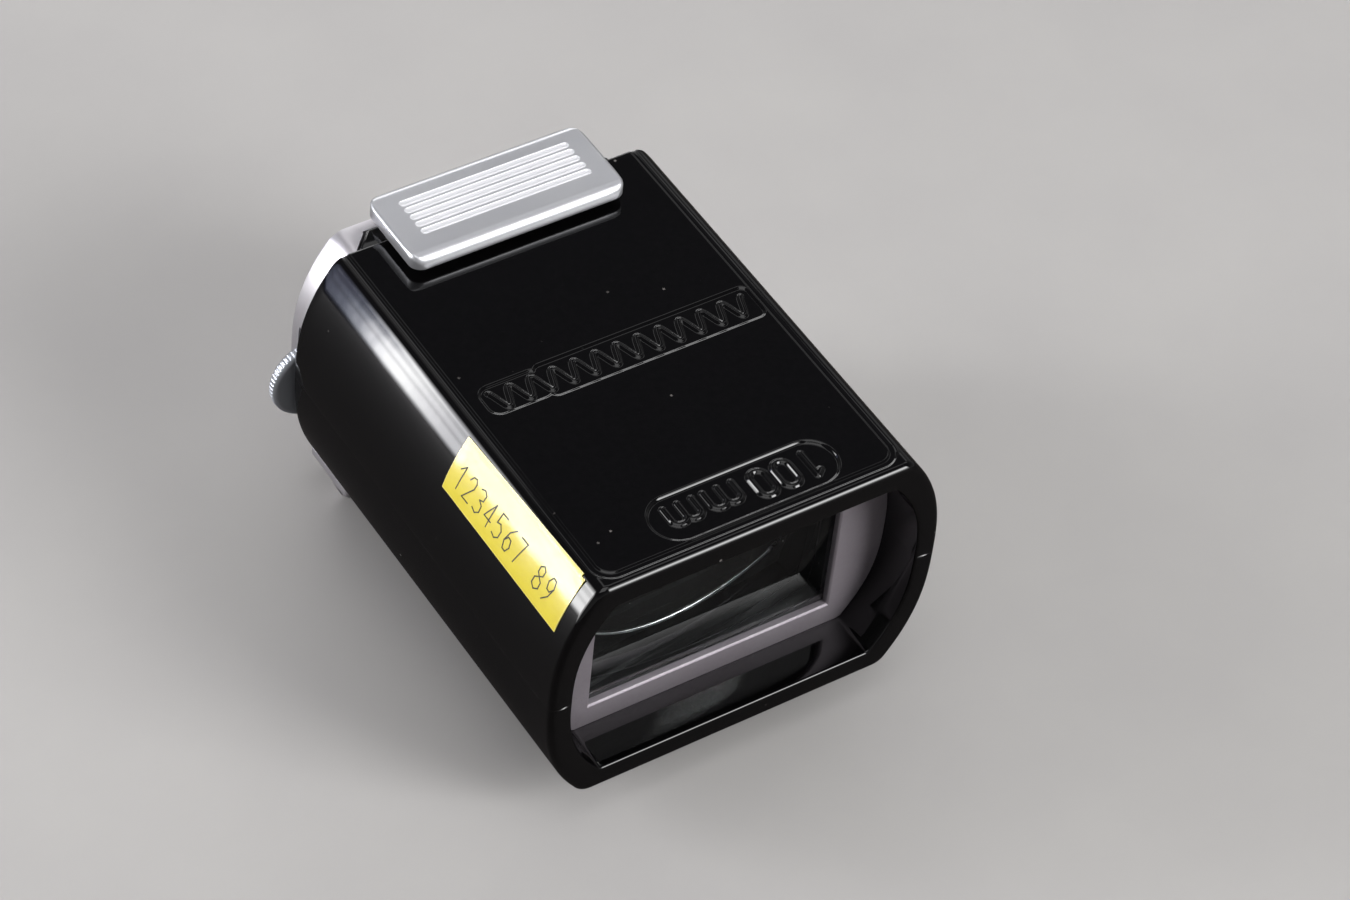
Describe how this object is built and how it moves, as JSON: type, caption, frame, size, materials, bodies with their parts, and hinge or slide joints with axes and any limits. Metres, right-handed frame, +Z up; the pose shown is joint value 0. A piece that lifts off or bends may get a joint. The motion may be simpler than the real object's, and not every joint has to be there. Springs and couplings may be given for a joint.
{
  "type": "accessory viewfinder",
  "caption": "Shoe-mounted camera viewfinder with a deep front hood, glazed window, fluted thumb slide for eye focus and a parallax wheel that tilts the body.",
  "frame": {"origin": "centre of the underside of the shoe foot", "axes": "+Z up, +Y towards the eye end, +X to the right when looking from the hood towards the eye end; the hood faces -Y"},
  "size_m": [0.0445, 0.0532, 0.0353],
  "materials": {
    "shell_black": "polished moulded black",
    "frame_silver": "satin",
    "optic_glass": "polished, coated",
    "lining_black": "matt black",
    "mask_metal": "matt black paint, bright edge",
    "slide_satin": "satin chrome plate",
    "bright_chrome": "polished chrome plate",
    "plated_steel": "nickel plate",
    "blued_steel": "blued spring steel",
    "brass_pin": "turned",
    "label_paper": "coated yellow paper"
  },
  "bodies": {
    "bracket": {"shoe_bracket": "bright_chrome", "shoe_foot": "plated_steel", "foot_rivets": "plated_steel", "foot_springs": "blued_steel", "eye_ring": "bright_chrome", "hinge_pin": "plated_steel", "tilt_spring": "blued_steel"},
    "finder_body": {"upper_shell": "shell_black", "lower_shell": "shell_black", "shell_screws": "plated_steel", "window_frame": "frame_silver", "front_lens": "optic_glass", "lens_spacer": "lining_black", "field_mask": "mask_metal", "light_baffle": "lining_black", "rear_wall": "shell_black", "hinge_strap": "plated_steel", "strap_screws": "plated_steel", "wheel_screw": "plated_steel", "wheel_washer": "blued_steel", "paper_label": "label_paper"},
    "wheel": {"parallax_wheel": "bright_chrome"},
    "slide": {"thumb_slide": "slide_satin", "slide_pins": "brass_pin", "slide_spring": "blued_steel", "eyepiece_carriage": "lining_black", "eyepiece_lens": "optic_glass", "eyepiece_ring": "mask_metal"}
  },
  "joints": [
    {"name": "body_tilt", "type": "hinge", "parent": "bracket", "child": "finder_body", "pos_m": [0, -0.0135, 0.0033], "axis": [1, 0, 0], "range_deg": [0, 2], "stiffness_Nm_per_rad": 0.3},
    {"name": "wheel_turn", "type": "hinge", "parent": "finder_body", "child": "wheel", "pos_m": [-0.01855, 0.00865, 0.01605], "axis": [0, 1, 0], "range_deg": [0, 20]},
    {"name": "eye_focus_slide", "type": "slide", "parent": "finder_body", "child": "slide", "axis": [0, -1, 0], "range_m": [0, 0.002]}
  ],
  "couplings": [
    {"joint": "wheel_turn", "follows": "body_tilt", "ratio": 10}
  ]
}
